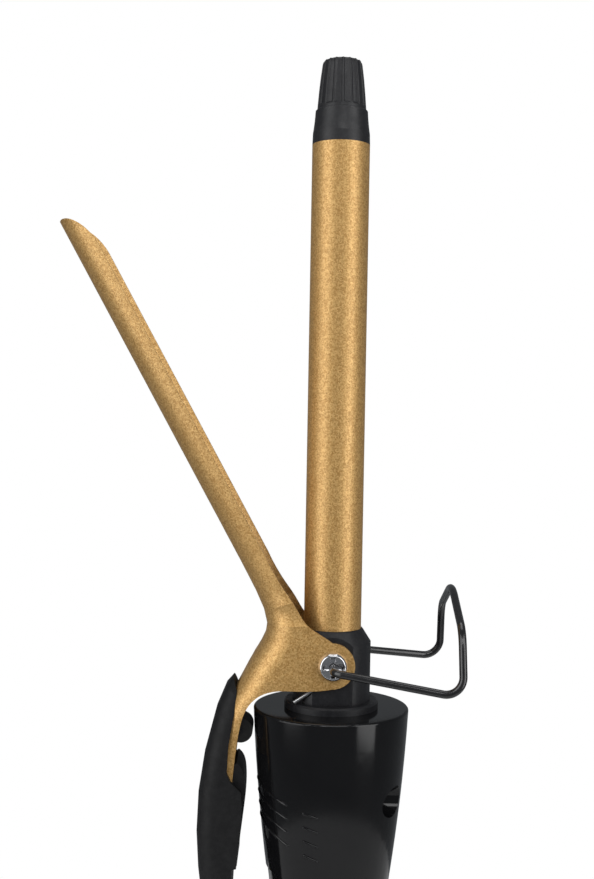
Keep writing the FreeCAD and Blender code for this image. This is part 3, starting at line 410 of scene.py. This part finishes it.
SCREW_SHANK_RADIUS = 2.0 * MM
SCREW_SHANK_END = 3.9 * MM
SCREW_HEAD_HEIGHT = 2.1 * MM
SCREW_HOLE_RADIUS = 1.12 * MM
SCREW_HOLE_FLOOR = 0.3 * MM
HOLE_WALL_SLOPE = 0.02 * MM
NEAR_AXIS = 0.001 * MM
DOME_FALL = 0.22
RIM_START = 0.78
RIM_FALL = 16
CROSS_REACH = 2.75 * MM
CROSS_HALF_WIDTH = 0.62 * MM
CROSS_DEPTH = 1.0 * MM
CROSS_WALL = 0.16 * MM


def screw_face(across, up, radius, height):
    """How far the face of a domed pan head stands above its seat, with a cross recess sunk in it."""
    reach = math.hypot(across, up)
    share = reach / radius
    dome = height * (1 - DOME_FALL * share ** 2) * (1 - max(0, share - RIM_START) ** 2 * RIM_FALL)
    narrow = min(abs(across), abs(up))
    wide = max(abs(across), abs(up))
    in_arm = min(1, max(0, (CROSS_HALF_WIDTH - narrow) / CROSS_WALL + 0.5))
    in_reach = min(1, max(0, (CROSS_REACH - wide) / (3 * CROSS_WALL)))
    return max(0, dome - CROSS_DEPTH * in_arm * in_reach)


def make_pivot_screws(look):
    """Both pivot screws in one piece: domed heads with a cross recess, bored for the stand's wire."""
    low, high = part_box("pivot_screws")
    radius = (high[2] - low[2]) / 2
    seat = high[1] - SCREW_HEAD_HEIGHT
    around = 144
    rings = 40
    verts = []
    faces = []
    for side in (-1, 1):
        base = len(verts)
        hole_floor = seat - SCREW_HOLE_FLOOR
        stations = [(NEAR_AXIS, hole_floor), (SCREW_HOLE_RADIUS - HOLE_WALL_SLOPE, hole_floor)]
        for ring in range(rings + 1):
            stations.append((SCREW_HOLE_RADIUS + (radius - SCREW_HOLE_RADIUS) * ring / rings, None))
        stations += [(radius, seat), (SCREW_SHANK_RADIUS, seat), (SCREW_SHANK_RADIUS, SCREW_SHANK_END)]
        stations += [(NEAR_AXIS, SCREW_SHANK_END)]
        for reach, place in stations:
            for step in range(around):
                turn = 2 * math.pi * step / around
                across = reach * math.cos(turn)
                up = reach * math.sin(turn)
                out = place
                if place is None:
                    out = seat + screw_face(across, up, radius, SCREW_HEAD_HEIGHT)
                verts.append((across, side * out, PIVOT_HEIGHT + up))
        faces += ring_walls(base, len(stations), around)
        faces.append(tuple(range(base, base + around)))
        faces.append(tuple(range(len(verts) - around, len(verts))))
    screws = mesh_object("pivot_screw_pair", verts, faces, look, "handle")
    screws.data.set_sharp_from_angle(angle=math.radians(40))
    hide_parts("pivot_screws")


# ---- surroundings ----------------------------------------------------------------------------------

def make_floor():
    """A pale round floor under the iron; past its edge there is only the white of the studio."""
    sides = 96
    radius = 0.235
    height = CAD_BOX[0][2]
    rim = [2 * math.pi * side / sides for side in range(sides)]
    verts = [(radius * math.cos(turn), radius * math.sin(turn), height) for turn in rim]
    mesh = bpy.data.meshes.new("floor")
    mesh.from_pydata(verts, [], [tuple(range(sides))])
    look = Look("pale_floor", (0.72, 0.72, 0.72), 0.85)
    look.vary_colour(look.noise(3), (0.76, 0.76, 0.76))
    look.bump(look.noise(400), 0.0001, 0.3)
    mesh.materials.append(look.material)
    floor = bpy.data.objects.new("floor", mesh)
    bpy.context.scene.collection.objects.link(floor)


def softbox(name, place, target, width, height, power):
    light = bpy.data.lights.new(name, "AREA")
    light.shape = "RECTANGLE"
    light.size = width
    light.size_y = height
    light.energy = power
    lamp = bpy.data.objects.new(name, light)
    lamp.location = place
    lamp.rotation_euler = (Vector(target) - Vector(place)).to_track_quat("-Z", "Y").to_euler()
    bpy.context.scene.collection.objects.link(lamp)
    return lamp


LIT_POINT = (0, 0, 0.08)

# Each softbox's name, place, width, height and watts.
SOFTBOXES = (
    ("softbox_left", (-0.8, -0.55, 0.3), 0.75, 1.3, 7.8),
    ("softbox_right", (0.72, -0.55, 0.28), 0.55, 1.3, 6.5),
    ("softbox_front", (0.1, -0.95, 0.85), 0.7, 0.4, 3.5),
    ("softbox_top", (0, 0.15, 1.2), 0.9, 0.6, 3.0),
)


def make_lights():
    for name, place, width, height, power in SOFTBOXES:
        softbox(name, place, LIT_POINT, width, height, power)


def make_world():
    """White where the camera looks past the iron, and a dim grey room for everything else."""
    world = bpy.data.worlds.new("studio")
    bpy.context.scene.world = world
    world.use_nodes = True
    tree = world.node_tree
    seen = tree.nodes["Background"]
    seen.inputs["Color"].default_value = (1, 1, 1, 1)
    room = tree.nodes.new("ShaderNodeBackground")
    room.inputs["Color"].default_value = (0.9, 0.95, 1, 1)
    room.inputs["Strength"].default_value = 0.16
    ray = tree.nodes.new("ShaderNodeLightPath")
    choice = tree.nodes.new("ShaderNodeMixShader")
    tree.links.new(ray.outputs["Is Camera Ray"], choice.inputs["Fac"])
    tree.links.new(room.outputs["Background"], choice.inputs[1])
    tree.links.new(seen.outputs["Background"], choice.inputs[2])
    tree.links.new(choice.outputs["Shader"], tree.nodes["World Output"].inputs["Surface"])


CAMERA_PLACE = (-10.9 * MM, -338 * MM, PIVOT_HEIGHT + 69.5 * MM)
CAMERA_DOWN = 1.46
CAMERA_ROLL = -1.0


def make_camera():
    """Nearly level, a little above the pivot, close enough for the foreshortening of a short lens."""
    camera = bpy.data.cameras.new("camera")
    camera.lens = 50
    camera.sensor_fit = "VERTICAL"
    camera.sensor_height = 36
    camera.sensor_width = 36
    eye = bpy.data.objects.new("camera", camera)
    eye.matrix_world = (
        Matrix.Translation(CAMERA_PLACE)
        @ Matrix.Rotation(math.radians(CAMERA_ROLL), 4, "Y")
        @ Matrix.Rotation(math.radians(90 - CAMERA_DOWN), 4, "X")
    )
    bpy.context.scene.collection.objects.link(eye)
    bpy.context.scene.camera = eye


# ---- the scene -------------------------------------------------------------------------------------

looks = make_looks()
finish_nodes(looks)
make_ribs(looks["black_gloss"])
make_cool_tip(looks["black_satin"])
make_pivot_screws(looks["chrome_screw"])
make_floor()
make_lights()
make_world()
make_camera()
bpy.context.scene.view_settings.view_transform = "Standard"
